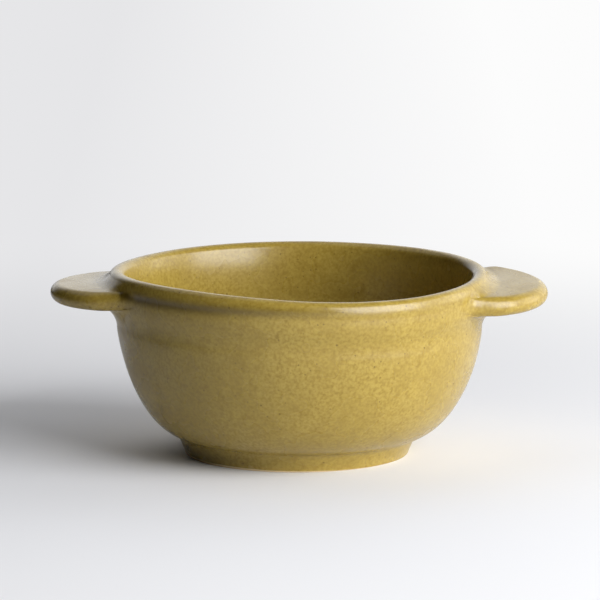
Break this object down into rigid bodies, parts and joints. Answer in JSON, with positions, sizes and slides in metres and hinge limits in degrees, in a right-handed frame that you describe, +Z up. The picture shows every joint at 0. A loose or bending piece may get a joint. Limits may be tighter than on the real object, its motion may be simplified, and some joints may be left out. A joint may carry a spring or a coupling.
{
  "type": "lug soup bowl",
  "caption": "Deep round stoneware soup bowl with a rounded rim, a low foot ring and flat rounded lugs for lifting under the rim.",
  "frame": {"origin": "middle of the face that the foot ring stands on", "axes": "+X from the middle of the bowl to the right lug, -Y towards the viewer in front, +Z up out of the mouth"},
  "size_m": [0.178, 0.1364, 0.0662],
  "materials": {
    "glaze": "satin ochre glaze with fine iron specks",
    "foot_glaze": "satin ochre glaze, wiped off the face it stands on"
  },
  "bodies": {
    "root": {"bowl_body": "glaze", "foot_ring": "foot_glaze", "left_lug": "glaze", "right_lug": "glaze"}
  },
  "joints": []
}
